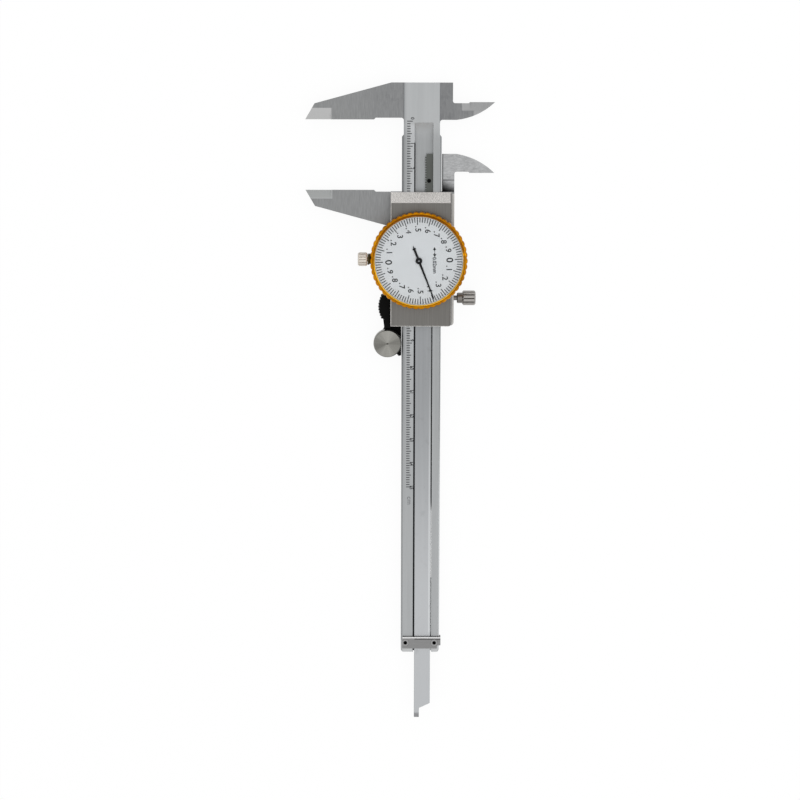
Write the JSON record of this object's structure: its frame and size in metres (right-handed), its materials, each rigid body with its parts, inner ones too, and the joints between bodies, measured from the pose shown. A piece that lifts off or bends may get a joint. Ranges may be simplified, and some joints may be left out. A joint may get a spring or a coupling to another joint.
{
  "type": "dial caliper",
  "caption": "Dial caliper with outside and inside jaws, a round scalloped dial on the slider, a thumb roller, a depth rod and a stop plate at the beam's end.",
  "frame": {"origin": "on the beam's back face, on its centre line, level with the fixed outside jaw's measuring face", "axes": "+X towards the inside jaws' tips, +Y along the beam towards the fixed jaws, +Z out of the dial"},
  "size_m": [0.0764, 0.2642, 0.0174],
  "materials": {
    "ground_steel": "ground and satin chromed",
    "rack_steel": "blued",
    "rod_steel": "ground",
    "dark_screws": "black oxide",
    "bright_screws": "plain",
    "brass": "brushed",
    "bush_bronze": "plain",
    "pivot_steel": "polished",
    "spring_steel": "tempered",
    "knob_chrome": "satin chrome",
    "case_metal": "turned",
    "bezel_gold": "gold anodised",
    "dial_paint": "matt white",
    "pointer_black": "semi-gloss black",
    "glass": "clear",
    "rest_black": "satin black"
  },
  "bodies": {
    "beam": {"beam": "ground_steel", "rack": "rack_steel", "rack_screws": "dark_screws", "stop_plate": "rod_steel", "stop_screws": "dark_screws"},
    "slider": {"slider_frame": "ground_steel", "gib": "brass", "gib_screws": "bright_screws", "gear_block": "ground_steel", "block_screws": "dark_screws", "depth_rod": "rod_steel", "rod_screws": "dark_screws", "dial_case": "case_metal", "case_screws": "dark_screws", "retaining_ring": "pivot_steel", "movement_plate": "brass", "bridge_plate": "brass", "arbor_bushes": "bush_bronze", "pillars": "brass", "bridge_screws": "bright_screws", "hairspring": "spring_steel", "hairspring_stud": "bright_screws", "thumb_rest": "rest_black", "rest_screws": "rest_black", "roller_washer": "bush_bronze"},
    "bezel": {"bezel": "bezel_gold", "dial_face": "dial_paint", "spacer_ring": "dial_paint", "crystal": "glass"},
    "pointer": {"pointer": "pointer_black", "centre_arbor": "pivot_steel"},
    "rack_gear": {"rack_arbor": "pivot_steel", "rack_wheel": "brass"},
    "return_gear": {"return_wheel": "brass", "return_arbor": "pivot_steel"},
    "roller": {"thumb_roller": "knob_chrome", "roller_clip": "bright_screws"},
    "lock": {"lock_screw": "knob_chrome"},
    "clamp": {"bezel_clamp_screw": "knob_chrome"}
  },
  "joints": [
    {"name": "slider_travel", "type": "slide", "parent": "beam", "child": "slider", "axis": [0, -1, 0], "range_m": [-0.02839, 0.12161]},
    {"name": "rack_gear_spin", "type": "hinge", "parent": "slider", "child": "rack_gear", "pos_m": [0.00001, -0.06374, 0], "axis": [0, 0, 1], "continuous": true},
    {"name": "pointer_spin", "type": "hinge", "parent": "slider", "child": "pointer", "pos_m": [-0.0011, -0.05614, 0], "axis": [0, 0, 1], "continuous": true},
    {"name": "return_gear_spin", "type": "hinge", "parent": "slider", "child": "return_gear", "pos_m": [-0.00373, -0.04893, 0], "axis": [0, 0, 1], "continuous": true},
    {"name": "roller_spin", "type": "hinge", "parent": "slider", "child": "roller", "pos_m": [-0.01376, -0.09079, 0], "axis": [0, 0, 1], "continuous": true},
    {"name": "bezel_turn", "type": "hinge", "parent": "slider", "child": "bezel", "pos_m": [-0.0011, -0.05614, 0], "axis": [0, 0, 1], "continuous": true},
    {"name": "lock_screw_turn", "type": "hinge", "parent": "slider", "child": "lock", "pos_m": [0.01325, -0.07219, 0.0019], "axis": [1, 0, 0], "range_deg": [-60, 300]},
    {"name": "bezel_clamp_turn", "type": "hinge", "parent": "slider", "child": "clamp", "pos_m": [-0.022, -0.05569, 0.0106], "axis": [-1, 0, 0], "range_deg": [-60, 300]}
  ],
  "couplings": [
    {"joint": "rack_gear_spin", "follows": "slider_travel", "rad_per_m": 628.32},
    {"joint": "pointer_spin", "follows": "slider_travel", "rad_per_m": -3141.6},
    {"joint": "return_gear_spin", "follows": "slider_travel", "rad_per_m": 628.32},
    {"joint": "roller_spin", "follows": "slider_travel", "rad_per_m": -173.61}
  ]
}
